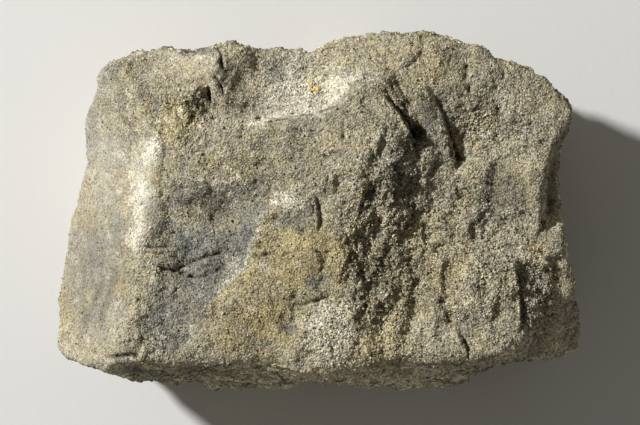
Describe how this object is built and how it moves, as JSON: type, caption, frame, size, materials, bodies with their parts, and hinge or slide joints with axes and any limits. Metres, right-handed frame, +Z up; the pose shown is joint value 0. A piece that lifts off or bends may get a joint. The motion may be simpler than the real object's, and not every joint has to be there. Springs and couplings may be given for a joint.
{
  "type": "sandstone rock",
  "caption": "Broken block of grey to ochre sandstone, a hand specimen lying on a flat bedding face, with a steep smooth end, a scooped hollow, sharp ledges and a layered side.",
  "frame": {"origin": "middle of the stone's box seen from above, on the surface that it lies on", "axes": "+X along the stone's longest side, +Y across it towards its scooped edge, +Z up out of the face that shows best"},
  "size_m": [0.1052, 0.0724, 0.0457],
  "materials": {
    "sandstone": "dry broken sandstone, matt and granular"
  },
  "bodies": {
    "root": {"sandstone_rock": "sandstone"}
  },
  "joints": []
}
